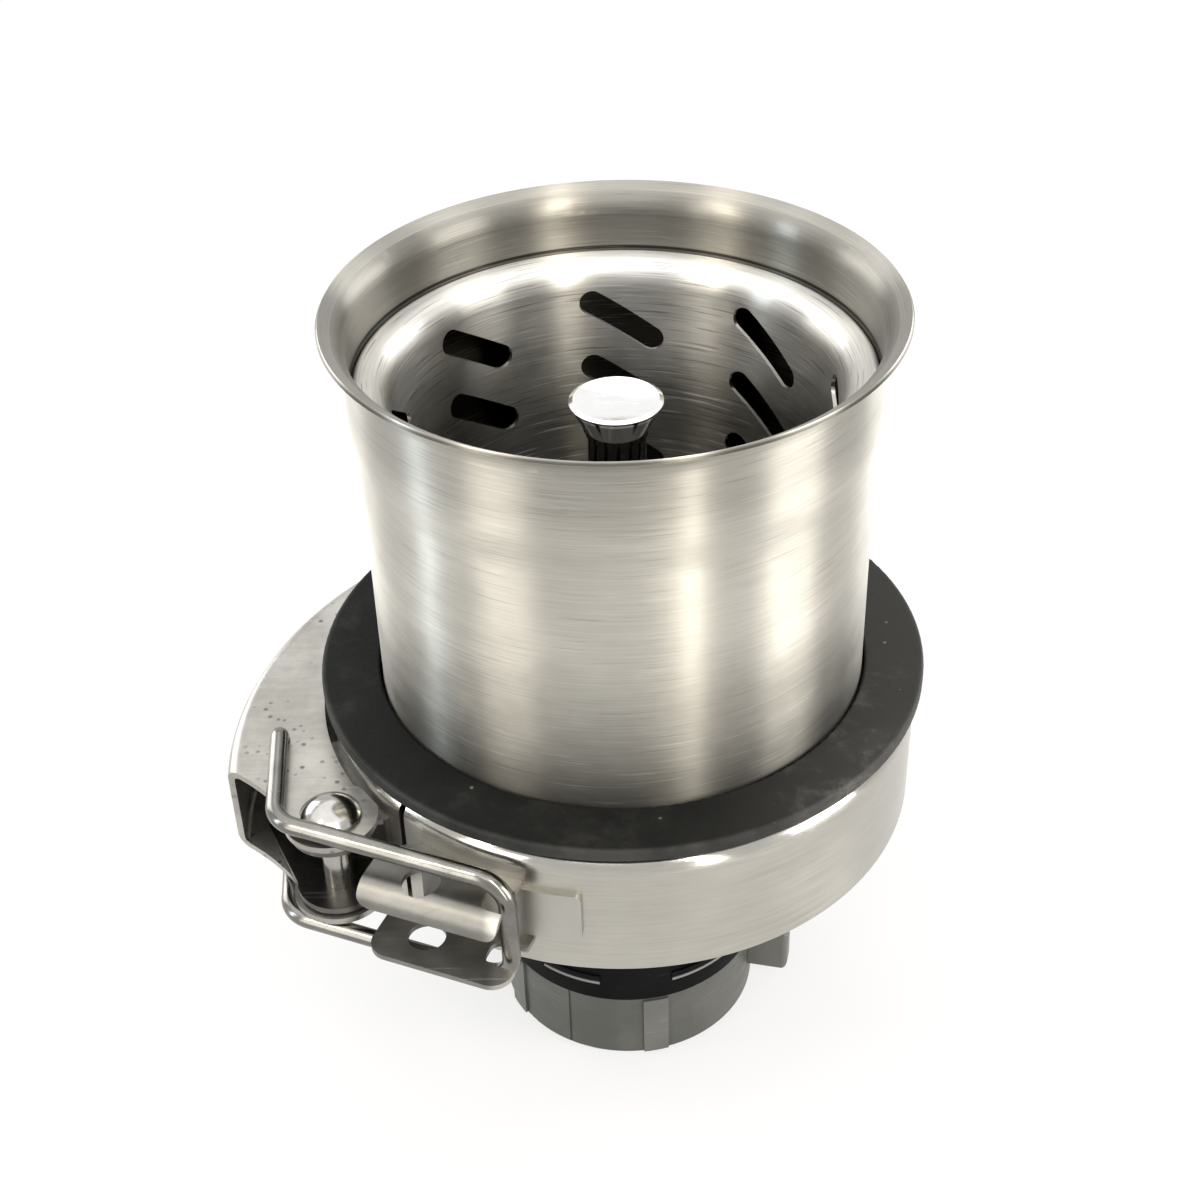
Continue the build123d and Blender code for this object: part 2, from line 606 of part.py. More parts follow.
def make_catch_bracket():
    """The bracket on the band's right end: a welded tab and two ears for the bight."""
    outer = BAND_RADIUS + CATCH_SHEET
    base = sector(BAND_RADIUS, outer, CATCH_START, CATCH_END, CATCH_BOTTOM, CATCH_HEIGHT)
    tab_bottom = LATCH_MIDDLE + CATCH_TAB_LIFT - CATCH_TAB_HEIGHT / 2
    tab = sector(BAND_RADIUS, outer, CATCH_START, CATCH_TAB_END, tab_bottom, CATCH_TAB_HEIGHT)
    corners = tab.edges().filter_by(GeomType.LINE).filter_by(Axis.Z, reverse=True)
    tab = fillet(corners.group_by(Axis.X)[-1], CATCH_TAB_ROUND)
    depth = EAR_LOWER_END - BIGHT_ALONG + WIRE_RADIUS + NOTCH_ROOM
    notch = Box(NOTCH_WIDTH, depth, CATCH_HEIGHT, align=(Align.CENTER, Align.MAX, Align.MIN))
    notch = fillet(notch.edges().filter_by(Axis.Z).group_by(Axis.Y)[0], NOTCH_ROUND)
    ears = make_upper_ear() + make_lower_ear() - Pos(LEG_OFFSET, EAR_LOWER_END, CATCH_BOTTOM) * notch
    catch = base + tab + latch_frame() * ears
    start = on_circle(BAND_RADIUS, CATCH_START)
    skew = [latch_point(EAR_START, EAR_SKEW), start, Vector(0, 0, 0), latch_point(0, 0)]
    clear = plate(skew, CATCH_BOTTOM, CATCH_HEIGHT)
    hole = rod(EAR_HOLE_RADIUS, CATCH_BOTTOM, CATCH_TOP, latch_point(EAR_HOLE_ALONG, EAR_HOLE_ACROSS))
    return catch - clear - hole - rod(BAND_RADIUS, CATCH_BOTTOM, CATCH_TOP)


def make_outlet_cup():
    """The moulded outlet: a drum inside the band, a funnel, a collar and a plain neck."""
    ledge = BAND_BOTTOM + BAND_SHEET + SEATED
    waist = BAND_RADIUS - BAND_BOTTOM_LIP - LOOSE
    shoulder = BAND_BOTTOM - CUP_WAIST_DROP
    profile = [
        (CUP_BORE_RADIUS, CUP_TOP),
        (CUP_RADIUS, CUP_TOP),
        (CUP_RADIUS, ledge + BAND_BOTTOM_BEND),
        (CUP_RADIUS - BAND_BOTTOM_BEND, ledge),
        (waist, ledge),
        (waist, shoulder),
        (COLLAR_RADIUS, COLLAR_TOP),
        (COLLAR_RADIUS, NUT_HEIGHT + LOOSE),
        (NECK_RADIUS, NUT_HEIGHT + LOOSE),
        (NECK_RADIUS, NECK_BOTTOM),
        (NECK_BORE_RADIUS, NECK_BOTTOM),
        (NECK_BORE_RADIUS, COLLAR_TOP),
        (CUP_BORE_RADIUS, shoulder + CUP_WALL),
    ]
    cup = turned(profile)
    for angle in LUG_ANGLES:
        start = angle - LUG_SPAN / 2
        end = angle + LUG_SPAN / 2
        inner = COLLAR_RADIUS - LUG_STAND
        outer = COLLAR_RADIUS + LUG_STAND
        cup = cup + sector(inner, outer, start, end, LUG_LEVEL - LUG_HEIGHT / 2, LUG_HEIGHT)
    return cup


def make_coupling_nut():
    """The hand nut: grips and two wings outside, a lip that carries the washer inside."""
    nut = rod(NUT_RADIUS, 0, NUT_HEIGHT)
    nut = fillet(nut.edges().filter_by(GeomType.CIRCLE), NUT_ROUND)
    for angle in GRIP_ANGLES:
        start = angle - GRIP_SPAN / 2
        end = angle + GRIP_SPAN / 2
        height = NUT_HEIGHT - 2 * NUT_ROUND
        nut = nut + sector(NECK_RADIUS + NUT_LIP, NUT_RADIUS + GRIP_STAND, start, end, NUT_ROUND, height)
    reach = NUT_RADIUS + WING_REACH - NECK_RADIUS - NUT_LIP
    wing = Box(WING_WIDTH, reach, NUT_HEIGHT - WING_BOTTOM, align=(Align.CENTER, Align.MAX, Align.MIN))
    wing = fillet(wing.faces().sort_by(Axis.Y)[0].edges(), WING_ROUND)
    for angle in WING_ANGLES:
        nut = nut + Rot(0, 0, angle) * Pos(0, -NECK_RADIUS - NUT_LIP, WING_BOTTOM) * wing
    seam = Box(SEAM_WIDTH, SEAM_DEPTH * 2, NUT_HEIGHT, align=(Align.CENTER, Align.CENTER, Align.MIN))
    nut = nut - Rot(0, 0, SEAM_ANGLE) * Pos(0, -NUT_RADIUS, 0) * seam
    return nut - rod(NECK_RADIUS + LOOSE, NUT_LIP, NUT_HEIGHT) - rod(NECK_BORE_RADIUS, 0, NUT_LIP)


def make_cone_washer():
    top = NECK_BOTTOM
    profile = [
        (NECK_BORE_RADIUS, top - CONE_WASHER_HEIGHT),
        (NECK_RADIUS - CONE_WASHER_SLOPE, top - CONE_WASHER_HEIGHT),
        (NECK_RADIUS, top),
        (NECK_BORE_RADIUS, top),
    ]
    return turned(profile)


def main():
    pieces = {
        "strainer_body": make_strainer_body(),
        "seat_gasket": make_gasket(),
        "flange_seal": make_flange_seal(),
        "clamp_band": make_clamp_band(),
        "basket": make_basket(),
        "basket_post": make_post(),
        "lifting_knob": make_knob(),
        "post_washer": make_post_washer(),
        "post_screw": make_post_screw(),
        "pivot_bracket": make_pivot_bracket(),
        "pivot_rivet": make_rivet(),
        "rivet_washer_upper": make_rivet_washer(BRACKET_TOP),
        "rivet_washer_lower": make_rivet_washer(BRACKET_BOTTOM - WASHER_HEIGHT),
        "latch_lever": make_lever(),
        "wire_bail": make_bail(),
        "catch_bracket": make_catch_bracket(),
        "outlet_cup": make_outlet_cup(),
        "coupling_nut": make_coupling_nut(),
        "cone_washer": make_cone_washer(),
    }
    os.makedirs("parts", exist_ok=True)
    for name, piece in pieces.items():
        export_step(piece, "parts/" + name + ".step")


main()
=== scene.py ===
import math

import bpy
from mathutils import Matrix, Vector


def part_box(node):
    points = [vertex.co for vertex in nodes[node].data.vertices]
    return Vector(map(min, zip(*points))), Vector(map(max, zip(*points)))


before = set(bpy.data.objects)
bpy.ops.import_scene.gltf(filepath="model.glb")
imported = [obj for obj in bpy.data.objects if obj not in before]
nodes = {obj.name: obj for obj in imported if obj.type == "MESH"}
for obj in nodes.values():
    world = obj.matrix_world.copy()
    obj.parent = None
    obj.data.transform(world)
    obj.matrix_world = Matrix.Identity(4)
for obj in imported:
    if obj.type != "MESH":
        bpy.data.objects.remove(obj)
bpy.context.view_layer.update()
scene = bpy.context.scene

# Lengths are in metres and colours in linear light. A noise value runs from 0 to 1, and a pair of them is
# where a mask begins and where it is full. Waves are the noise's waves per metre along X, Y and Z.

# Brushed steel
# A dark tint: painted shade and painted reflections on the tube, basket and knob, and the colour of deep
# scratches and of the darkening towards the tube's bottom
SHADE_AND_SOIL = (0.066, 0.063, 0.054)
# Painted shadow in the gap at the seam behind the basket's lip
SEAM_SHADOW = (0.02, 0.018, 0.014)
RING_WAVES = 60.0            # along a brushed ring, where the grain changes slowly
STAIN_WAVES = (24, 24, 30)
SCRATCH_SPACING = 0.9        # against the spacing of the fine lines
LIGHT_SCRATCHES = (0.62, 0.7)
DEEP_SCRATCHES = (0.38, 0.3)
SCRATCHED_AREA = (0.38, 0.6)
SCRATCH_GAIN = 1.5
SCRATCH_BRIGHTEST = 0.95
DEEP_GAIN = 1.4
DEEP_SHADE = 0.3
FINE_SHARE = 0.45            # fine lines in the tone, and stains for the rest
STEEL_TONES = (0.32, 0.68)
STAIN_LIFT = 0.016           # how far the edge of a darkening by height wanders up and down
FACING_OUT = (0.02, 0.045)
# Painted shadow in the gap behind the basket's lip, and painted shade on the tube's wall below it
SEAM_GAP = (0.0006, 0.0002)
SEAM_DEPTH = 0.004
SEAM_SHARE = 0.9
# Painted shade along the rim's cut edge
EDGE_RING = (-0.0004, -0.0001)
EDGE_SHARE = 0.85
FINE_ROUGHNESS = 0.6
UNEVEN_STEEL = (0.5, 1.1)
STEEL_ROUGHNESS_SPREAD = 0.05
SHOULDER_BAND = (-0.004, -0.0015)
SHOULDER_POLISH = 0.17
GRAIN_TURN = 0.25            # a quarter turn: highlights stretch across the rings

# Rolled steel
ROLL_WAVES, ROLL_TURN = (60, 900, 900), (0, 0, 35)
CROSS_WAVES, CROSS_TURN = (40, 1500, 300), (0, 0, -50)
CLOUD_WAVES = (60, 60, 60)
PIT_AREA_WAVES = (70, 70, 70)
PIT_CELLS = 420.0
CROSS_SCRATCHES = (0.66, 0.72)
ROLL_SHARE, CLOUD_SHARE = 0.18, 0.85
ROLLED_TONES = (0.32, 0.72)
SCRATCH_METAL = (0.82, 0.81, 0.79)
# A painted reflection lightens the end at higher X
PAINTED_LIT_METAL = (0.55, 0.535, 0.49)
LIT_END_FADE = 0.003
LIT_END_SHARE = 0.6
PIT_COLOR = (0.12, 0.11, 0.1)
PIT_SIZE = (0.32, 0.12)
PIT_AREA = (0.5, 0.62)
PIT_DEPTH = 2.0
ROLL_HEIGHT, SCRATCH_DEPTH = 0.4, 0.3

# Polished steel and chrome
HAZE_WAVES = (90, 90, 90)
HAIR_WAVES, HAIR_TURN = (120, 2200, 700), (20, 10, 40)
HAIR_SCRATCHES = (0.68, 0.74)
HAZE_TONES = (0.3, 0.7)
HAZE_ROUGHNESS = 0.16
KNOB_RIM = 0.001             # the painted dark reflection begins just below the knob's rim
DARK_REFLECTION_FADE = 0.001
DARK_REFLECTION_SHARE = 0.8

# Uneven roughness of rolled steel, polished steel and plastic
UNEVEN_METAL = (0.3, 1.2)
SMOOTHER, ROUGHER = 0.08, 0.1

# Rubber
RUBBER_DARK, RUBBER_LIGHT = (0.004, 0.0045, 0.0045), (0.009, 0.0095, 0.009)
RUBBER_GREYER = (0.1, 0.098, 0.092)
RUBBER_SCUFF = (0.15, 0.143, 0.13)
RUBBER_EDGE_HIGHLIGHT = (0.1, 0.1, 0.098)
RUBBER_SPECK = (0.3, 0.29, 0.27)
RUBBER_FINE, RUBBER_CLOUD, RUBBER_SPECKS = 900.0, 44.0, 120.0
RUBBER_RUB_WAVES = (150, 150, 500)
RUBBER_TONES = (0.3, 0.75)
GREYER_SIDE = (0.005, 0.06, 0.12, 1.0)
# Painted highlight along the rubber's rounded outer edge
EDGE_HIGHLIGHT_BAND = (-0.0014, -0.0003)
EDGE_PATCHES = (0.3, 0.6, 0.3, 1.0)
SCUFF_AREA, SCUFF_MARKS = (0.46, 0.68), (0.38, 0.64)
SPECK_SIZE = (0.06, 0.035)
GREYER_SHARE, SCUFF_SHARE, EDGE_HIGHLIGHT_SHARE, SPECK_SHARE = 0.3, 0.7, 0.3, 0.35
RUBBER_ROUGHNESS = (0.6, 1.4, 0.42, 0.72)
RUBBER_GLOSS = 0.06

# Plastic
PLASTIC_DUST = (0.4, 0.4, 0.41)
PLASTIC_PALER = (0.34, 0.34, 0.33)
PLASTIC_FINE, PLASTIC_CLOUD = 1500.0, 55.0
PLASTIC_RUB_WAVES = (60, 60, 900)
PLASTIC_TONES = (0.35, 0.7)
DUST_MARKS, DUST_AREA = (0.6, 0.75), (0.45, 0.65)
PALER_FADE, PALER_FADE_DOWN = 0.0002, 0.0006
UNEVEN_PLASTIC = (0.7, 1.3)

# Studio
FLOOR_HALF = 6.0
FLOOR_DROP = 0.0004          # keeps the floor clear of the nut's bottom face
FLOOR_WAVES = 3.0
FLOOR_TONES = (0.73, 0.725, 0.715), (0.75, 0.745, 0.735)
FLOOR_ROUGHNESS, FLOOR_GLOSS = 0.9, 0.1
FLOOR_WHITE = (0.3, 0.9, 0.7, 1.0)   # from near the object to far away
FILL = (0.34, 0.34, 0.34, 1)
WHITE = (1, 1, 1, 1)
NEUTRAL = (1, 1, 1)
AMBER = (1.0, 0.92, 0.78)
BLUISH = (0.78, 0.9, 1.0)
LAMPS = (
    # name, place, height of the aim on the axis, size, power, colour
    ("top_softbox", (-0.1, 0.1, 1.1), 0.08, (1.7, 1.7), 10.0, NEUTRAL),
    ("front_softbox", (0.05, -0.6, 0.95), 0.1, (0.7, 0.3), 1.0, NEUTRAL),
    ("high_left_strip", (-0.62, -0.42, 0.85), 0.16, (0.08, 0.5), 3.0, AMBER),
    ("high_right_strip", (0.32, -0.67, 0.85), 0.16, (0.07, 0.5), 3.6, AMBER),
    ("left_strip", (-0.88, -0.14, 0.3), 0.15, (0.12, 0.6), 2.0, BLUISH),
    ("front_left_strip", (-0.62, -0.6, 0.3), 0.15, (0.34, 0.6), 2.3, (1.0, 0.96, 0.9)),
    ("front_right_strip", (0.42, -0.79, 0.3), 0.15, (0.1, 0.6), 2.0, (1.0, 0.95, 0.87)),
    ("right_strip", (0.86, -0.3, 0.3), 0.15, (0.4, 0.6), 6.0, (1.0, 0.97, 0.92)),
    ("back_left_strip", (-0.7, 0.55, 0.32), 0.15, (0.5, 0.6), 3.8, NEUTRAL),
    ("back_right_strip", (0.7, 0.55, 0.32), 0.15, (0.5, 0.6), 4.6, NEUTRAL),
)

# Camera, fitted to the photograph
PHOTO_PIXELS = 1200.0
FOCAL_PIXELS = 1911.29
SENSOR_MM = 36.0
CAMERA_PLACE = (0.00096, -0.34887, 0.37408)
CAMERA_YAW, CAMERA_PITCH, CAMERA_ROLL = -0.0162, 0.635, -0.0312
CLIP_START = 0.01


class Nodes:
    """A short way to build a material's node tree."""

    SOCKETS = {
        "color": "Base Color",
        "rough": "Roughness",
        "metal": "Metallic",
        "normal": "Normal",
        "specular": "Specular IOR Level",
    }

    def __init__(self, name):
        self.material = bpy.data.materials.new(name)
        self.material.use_nodes = True
        self.tree = self.material.node_tree
        self.tree.nodes.clear()
        self.shader = self.tree.nodes.new("ShaderNodeBsdfPrincipled")
        self.out = self.tree.nodes.new("ShaderNodeOutputMaterial")
        self.join(self.shader.outputs[0], self.out.inputs[0])
        coordinates = self.tree.nodes.new("ShaderNodeTexCoord")
        self.place = coordinates.outputs["Object"]
        self.facing = coordinates.outputs["Normal"]

    def join(self, source, target):
        self.tree.links.new(source, target)

    def feed(self, socket, value):
        if isinstance(value, bpy.types.NodeSocket):
            self.join(value, socket)
        else:
            socket.default_value = value

    def scaled(self, waves, turn=(0, 0, 0)):
        """The place on the object, scaled along each axis and then turned by degrees."""
        node = self.tree.nodes.new("ShaderNodeMapping")
        node.vector_type = "POINT"
        node.inputs["Scale"].default_value = waves
        node.inputs["Rotation"].default_value = [math.radians(a) for a in turn]
        self.join(self.place, node.inputs["Vector"])
        return node.outputs[0]

    def noise(self, vector, scale=1.0, detail=2.0, rough=0.5, warp=0.0):
        node = self.tree.nodes.new("ShaderNodeTexNoise")
        self.join(vector, node.inputs["Vector"])
        node.inputs["Scale"].default_value = scale
        node.inputs["Detail"].default_value = detail
        node.inputs["Roughness"].default_value = rough
        node.inputs["Distortion"].default_value = warp
        return node.outputs["Fac"]

    def cells(self, scale):
        """How far the place is from the middle of the nearest random cell."""
        node = self.tree.nodes.new("ShaderNodeTexVoronoi")
        self.join(self.place, node.inputs["Vector"])
        node.inputs["Scale"].default_value = scale
        return node.outputs["Distance"]

    def remap(self, value, low, high, to_low=0.0, to_high=1.0):
        node = self.tree.nodes.new("ShaderNodeMapRange")
        node.interpolation_type = "SMOOTHSTEP"
        self.feed(node.inputs["Value"], value)
        node.inputs["From Min"].default_value = low
        node.inputs["From Max"].default_value = high
        node.inputs["To Min"].default_value = to_low
        node.inputs["To Max"].default_value = to_high
        return node.outputs["Result"]

    def math(self, kind, a, b=0.0):
        node = self.tree.nodes.new("ShaderNodeMath")
        node.operation = kind
        self.feed(node.inputs[0], a)
        self.feed(node.inputs[1], b)
        return node.outputs[0]

    def plus(self, a, b):
        return self.math("ADD", a, b)

    def minus(self, a, b):
        return self.math("SUBTRACT", a, b)

    def times(self, a, b):
        return self.math("MULTIPLY", a, b)

    def mix(self, share, a, b):
        node = self.tree.nodes.new("ShaderNodeMix")
        node.data_type = "RGBA"
        self.feed(node.inputs["Factor"], share)
        for side, value in (("A", a), ("B", b)):
            self.feed(node.inputs[side], value if isinstance(value, bpy.types.NodeSocket) else (*value, 1))
        return node.outputs["Result"]

    def tinted(self, color, mask, share, tint):
        """The colour with a share of the tint wherever the mask is."""
        return self.mix(self.times(mask, share), color, tint)

    def bump(self, height, strength, distance, after=None):
        node = self.tree.nodes.new("ShaderNodeBump")
        node.inputs["Strength"].default_value = strength
        node.inputs["Distance"].default_value = distance
        self.join(height, node.inputs["Height"])
        if after is not None:
            self.join(after, node.inputs["Normal"])
        return node.outputs[0]

    def split(self, vector):
        node = self.tree.nodes.new("ShaderNodeSeparateXYZ")
        self.join(vector, node.inputs[0])
        return node.outputs[0], node.outputs[1], node.outputs[2]

    def axes(self):
        return self.split(self.place)

    def combined(self, x, y, z):
        node = self.tree.nodes.new("ShaderNodeCombineXYZ")
        for socket, value in zip(node.inputs, (x, y, z)):
            self.feed(socket, value)
        return node.outputs[0]

    def from_axis(self, x, y):
        """How far the place is from the Z axis."""
        return self.math("SQRT", self.plus(self.times(x, x), self.times(y, y)))

    def facing_axis(self, x, y):
        """Below nothing where the surface faces the Z axis, above nothing where it faces away."""
        normal_x, normal_y, _ = self.split(self.facing)
        return self.plus(self.times(normal_x, x), self.times(normal_y, y))

    def round_grain(self, amount):
        """Stretches the highlights across a grain that runs round the Z axis."""
        node = self.tree.nodes.new("ShaderNodeTangent")
        node.direction_type = "RADIAL"
        node.axis = "Z"
        self.join(node.outputs[0], self.shader.inputs["Tangent"])
        self.shader.inputs["Anisotropic"].default_value = amount
        self.shader.inputs["Anisotropic Rotation"].default_value = GRAIN_TURN

    def set(self, **values):
        for key, value in values.items():
            self.feed(self.shader.inputs[self.SOCKETS[key]], value)
        return self.material


def brushed(name, dark, light, rough, grain, marks, lines=2600.0, darker_below=None, dark_outside=None, inside=None,
            edge=None, seam=None, shoulder=None):
    """Sheet steel brushed round the axis, with hair-fine rings, scratches, slow stains, darkening by height,
    and painted shade and reflections.

    darker_below: the height where it is light, the height where it is darkest and the share of the dark tint
    all round, and dark_outside the same on the outside only
    inside: share of the painted shade on what faces the axis, standing in for its dark reflections, and the
    facing where it begins and is full
    edge: radius of a dark edge of painted shade; seam: height of a painted shadow in the gap at a seam
    inside, with painted shade below it; shoulder: top of a polished shoulder
    """
    m = Nodes(name)
    x, y, z = m.axes()
    radius = m.from_axis(x, y)
    across = m.plus(z, radius)
    round_x, round_y = m.times(x, RING_WAVES), m.times(y, RING_WAVES)
    fine = m.noise(m.combined(round_x, round_y, m.times(across, lines)), detail=3.0, rough=0.65)
    scratch = m.noise(m.combined(round_x, round_y, m.times(across, lines * SCRATCH_SPACING)), detail=1.0)
    stain = m.noise(m.scaled(STAIN_WAVES), detail=4.0, rough=0.6)

    tone = m.plus(m.times(fine, FINE_SHARE), m.times(stain, 1 - FINE_SHARE))
    color = m.mix(m.remap(tone, *STEEL_TONES), dark, light)
    level = m.plus(z, m.times(stain, STAIN_LIFT))
    # Darker by height all round: painted shade low in the basket, and darker towards the bottom on the tube
    if darker_below:
        light_height, dark_height, share = darker_below
        color = m.mix(m.remap(level, light_height, dark_height, 0.0, share), color, SHADE_AND_SOIL)
    facing = m.facing_axis(x, y) if dark_outside or inside else None
    # Darker by height on the outside: on the tube's upper part this is painted shade dimming its reflections
    if dark_outside:
        light_height, dark_height, share = dark_outside
        outer = m.remap(facing, *FACING_OUT)
        color = m.mix(m.times(outer, m.remap(level, light_height, dark_height, 0.0, share)), color, SHADE_AND_SOIL)
    # Painted shade on what faces the axis, standing in for its dark reflections
    if inside:
        share, begins, full = inside
        inner_shade = m.remap(facing, begins, full)
        color = m.tinted(color, inner_shade, share, SHADE_AND_SOIL)
        # Painted shadow in the gap at the seam, and painted shade below it
        if seam:
            gap = m.math("ABSOLUTE", m.minus(z, seam))
            gap_shadow = m.math("MAXIMUM", m.remap(gap, *SEAM_GAP), m.remap(z, seam, seam - SEAM_DEPTH))
            color = m.mix(m.times(inner_shade, m.times(gap_shadow, SEAM_SHARE)), color, SEAM_SHADOW)

    bright = m.times(m.remap(scratch, *LIGHT_SCRATCHES), m.remap(stain, *SCRATCHED_AREA))
    bright_color = tuple(min(c * SCRATCH_GAIN, SCRATCH_BRIGHTEST) for c in light)
    color = m.tinted(color, bright, marks, bright_color)
    deep = m.remap(scratch, *DEEP_SCRATCHES)
    color = m.tinted(color, deep, marks * DEEP_GAIN, tuple(c * DEEP_SHADE for c in SHADE_AND_SOIL))
    # Painted shade along the rim's cut edge
    if edge:
        begins, full = EDGE_RING
        color = m.mix(m.remap(radius, edge + begins, edge + full, 0.0, EDGE_SHARE), color, SHADE_AND_SOIL)

    uneven = m.plus(m.times(fine, FINE_ROUGHNESS), stain)
    roughness = m.remap(uneven, *UNEVEN_STEEL, rough - STEEL_ROUGHNESS_SPREAD, rough + STEEL_ROUGHNESS_SPREAD)
    if shoulder:
        begins, full = SHOULDER_BAND
        polish = m.remap(z, shoulder + begins, shoulder + full, 0.0, SHOULDER_POLISH)
        roughness = m.minus(roughness, polish)
    bump = m.bump(fine, strength=0.14, distance=0.00003)
    bump = m.bump(stain, strength=0.05, distance=0.0006, after=bump)
    m.round_grain(grain)
    return m.set(color=color, rough=roughness, metal=1.0, normal=bump)


def rolled(name, dark, light, rough, scratch, pits=None, bright_from=None):
    """Flat rolled sheet: faint roll lines, crossing scratches, and dark pits or an end at higher X lightened
    as a painted reflection.
    """
    m = Nodes(name)
    grain = m.noise(m.scaled(ROLL_WAVES, ROLL_TURN), detail=3.0, rough=0.6)
    cross = m.noise(m.scaled(CROSS_WAVES, CROSS_TURN), detail=1.0, warp=0.3)
    cloud = m.noise(m.scaled(CLOUD_WAVES), detail=5.0, rough=0.65)
    line = m.remap(cross, *CROSS_SCRATCHES)
    tone = m.plus(m.times(grain, ROLL_SHARE), m.times(cloud, CLOUD_SHARE))
    color = m.mix(m.remap(tone, *ROLLED_TONES), dark, light)
    color = m.tinted(color, line, scratch, SCRATCH_METAL)
    # Painted reflection: the end at higher X is lightened
    if bright_from:
        x, _, _ = m.axes()
        lit_end = m.remap(x, bright_from, bright_from + LIT_END_FADE, 0.0, LIT_END_SHARE)
        color = m.mix(lit_end, color, PAINTED_LIT_METAL)
    roughness = m.remap(m.plus(cloud, line), *UNEVEN_METAL, rough - SMOOTHER, rough + ROUGHER)
    height = m.minus(m.times(grain, ROLL_HEIGHT), m.times(line, SCRATCH_DEPTH))
    if pits:
        area = m.remap(m.noise(m.scaled(PIT_AREA_WAVES)), *PIT_AREA)
        pit = m.times(m.remap(m.cells(PIT_CELLS), *PIT_SIZE), area)
        color = m.tinted(color, pit, pits, PIT_COLOR)
        height = m.minus(height, m.times(pit, PIT_DEPTH))
    bump = m.bump(height, strength=0.22, distance=0.00008)
    bump = m.bump(cloud, strength=0.15, distance=0.0007, after=bump)
    return m.set(color=color, rough=roughness, metal=1.0, normal=bump)


def polished(name, dark, light, rough, dark_reflection_below=None):
    """Polished wire, rivets and chrome: a mirror with haze and hair scratches, and a painted dark reflection
    below a height.
    """
    m = Nodes(name)
    haze = m.noise(m.scaled(HAZE_WAVES), detail=4.0, rough=0.6)
    hair = m.noise(m.scaled(HAIR_WAVES, HAIR_TURN), detail=1.0, warp=0.4)
    line = m.remap(hair, *HAIR_SCRATCHES)
    color = m.mix(m.remap(haze, *HAZE_TONES), dark, light)
    # Painted reflection of the dark basket below a height
    if dark_reflection_below:
        _, _, z = m.axes()
        color = m.mix(m.remap(z, dark_reflection_below, dark_reflection_below - DARK_REFLECTION_FADE, 0.0, DARK_REFLECTION_SHARE), color, SHADE_AND_SOIL)
    roughness = m.remap(m.plus(haze, line), *UNEVEN_METAL, rough, rough + HAZE_ROUGHNESS)
    bump = m.bump(haze, strength=0.08, distance=0.0006)
    bump = m.bump(line, strength=0.08, distance=0.00003, after=bump)
    return m.set(color=color, rough=roughness, metal=1.0, normal=bump)


def rubber(name, edge):
    """Black rubber: greyer on one side, a painted highlight along its edge, scuffs and a few light specks."""
    m = Nodes(name)
    x, y, _ = m.axes()
    fine = m.noise(m.place, scale=RUBBER_FINE, detail=4.0, rough=0.7)
    cloud = m.noise(m.place, scale=RUBBER_CLOUD, detail=5.0, rough=0.65)
    rub = m.noise(m.scaled(RUBBER_RUB_WAVES), detail=4.0, rough=0.7, warp=0.6)
    speck = m.remap(m.cells(RUBBER_SPECKS), *SPECK_SIZE)
    side = m.remap(x, *GREYER_SIDE)
    # Painted highlight along the rounded outer edge, in patches
    begins, full = EDGE_HIGHLIGHT_BAND
    rim = m.remap(m.from_axis(x, y), edge + begins, edge + full)
    rim = m.times(rim, m.remap(cloud, *EDGE_PATCHES))
    scuff = m.times(m.remap(cloud, *SCUFF_AREA), m.remap(rub, *SCUFF_MARKS))
    scuff = m.times(scuff, side)
    color = m.mix(m.remap(cloud, *RUBBER_TONES), RUBBER_DARK, RUBBER_LIGHT)
    color = m.tinted(color, side, GREYER_SHARE, RUBBER_GREYER)
    color = m.tinted(color, scuff, SCUFF_SHARE, RUBBER_SCUFF)
    color = m.tinted(color, rim, EDGE_HIGHLIGHT_SHARE, RUBBER_EDGE_HIGHLIGHT)
    color = m.tinted(color, speck, SPECK_SHARE, RUBBER_SPECK)
    roughness = m.remap(m.plus(fine, cloud), *RUBBER_ROUGHNESS)
    bump = m.bump(fine, strength=0.25, distance=0.00015)
    bump = m.bump(cloud, strength=0.35, distance=0.0009, after=bump)
    return m.set(color=color, rough=roughness, normal=bump, specular=RUBBER_GLOSS)


def moulded(name, dark, light, rough, dust, gloss, paler_from, paler_below, paler_share):
    """Moulded plastic with a fine texture, pale rub marks, and paler outside a radius and below a height."""
    m = Nodes(name)
    x, y, z = m.axes()
    fine = m.noise(m.place, scale=PLASTIC_FINE, detail=3.0)
    cloud = m.noise(m.place, scale=PLASTIC_CLOUD, detail=5.0, rough=0.6)
    rub = m.noise(m.scaled(PLASTIC_RUB_WAVES), detail=3.0, rough=0.6)
    color = m.mix(m.remap(cloud, *PLASTIC_TONES), dark, light)
    mark = m.times(m.remap(rub, *DUST_MARKS), m.remap(cloud, *DUST_AREA))
    color = m.tinted(color, mark, dust, PLASTIC_DUST)
    outside = m.remap(m.from_axis(x, y), paler_from, paler_from + PALER_FADE)
    proud = m.times(outside, m.remap(z, paler_below, paler_below - PALER_FADE_DOWN))
    color = m.tinted(color, proud, paler_share, PLASTIC_PALER)
    roughness = m.remap(m.plus(cloud, rub), *UNEVEN_PLASTIC, rough - SMOOTHER, rough + ROUGHER)
    bump = m.bump(fine, strength=0.18, distance=0.0001)
    bump = m.bump(rub, strength=0.15, distance=0.0001, after=bump)
    return m.set(color=color, rough=roughness, normal=bump, specular=gloss)


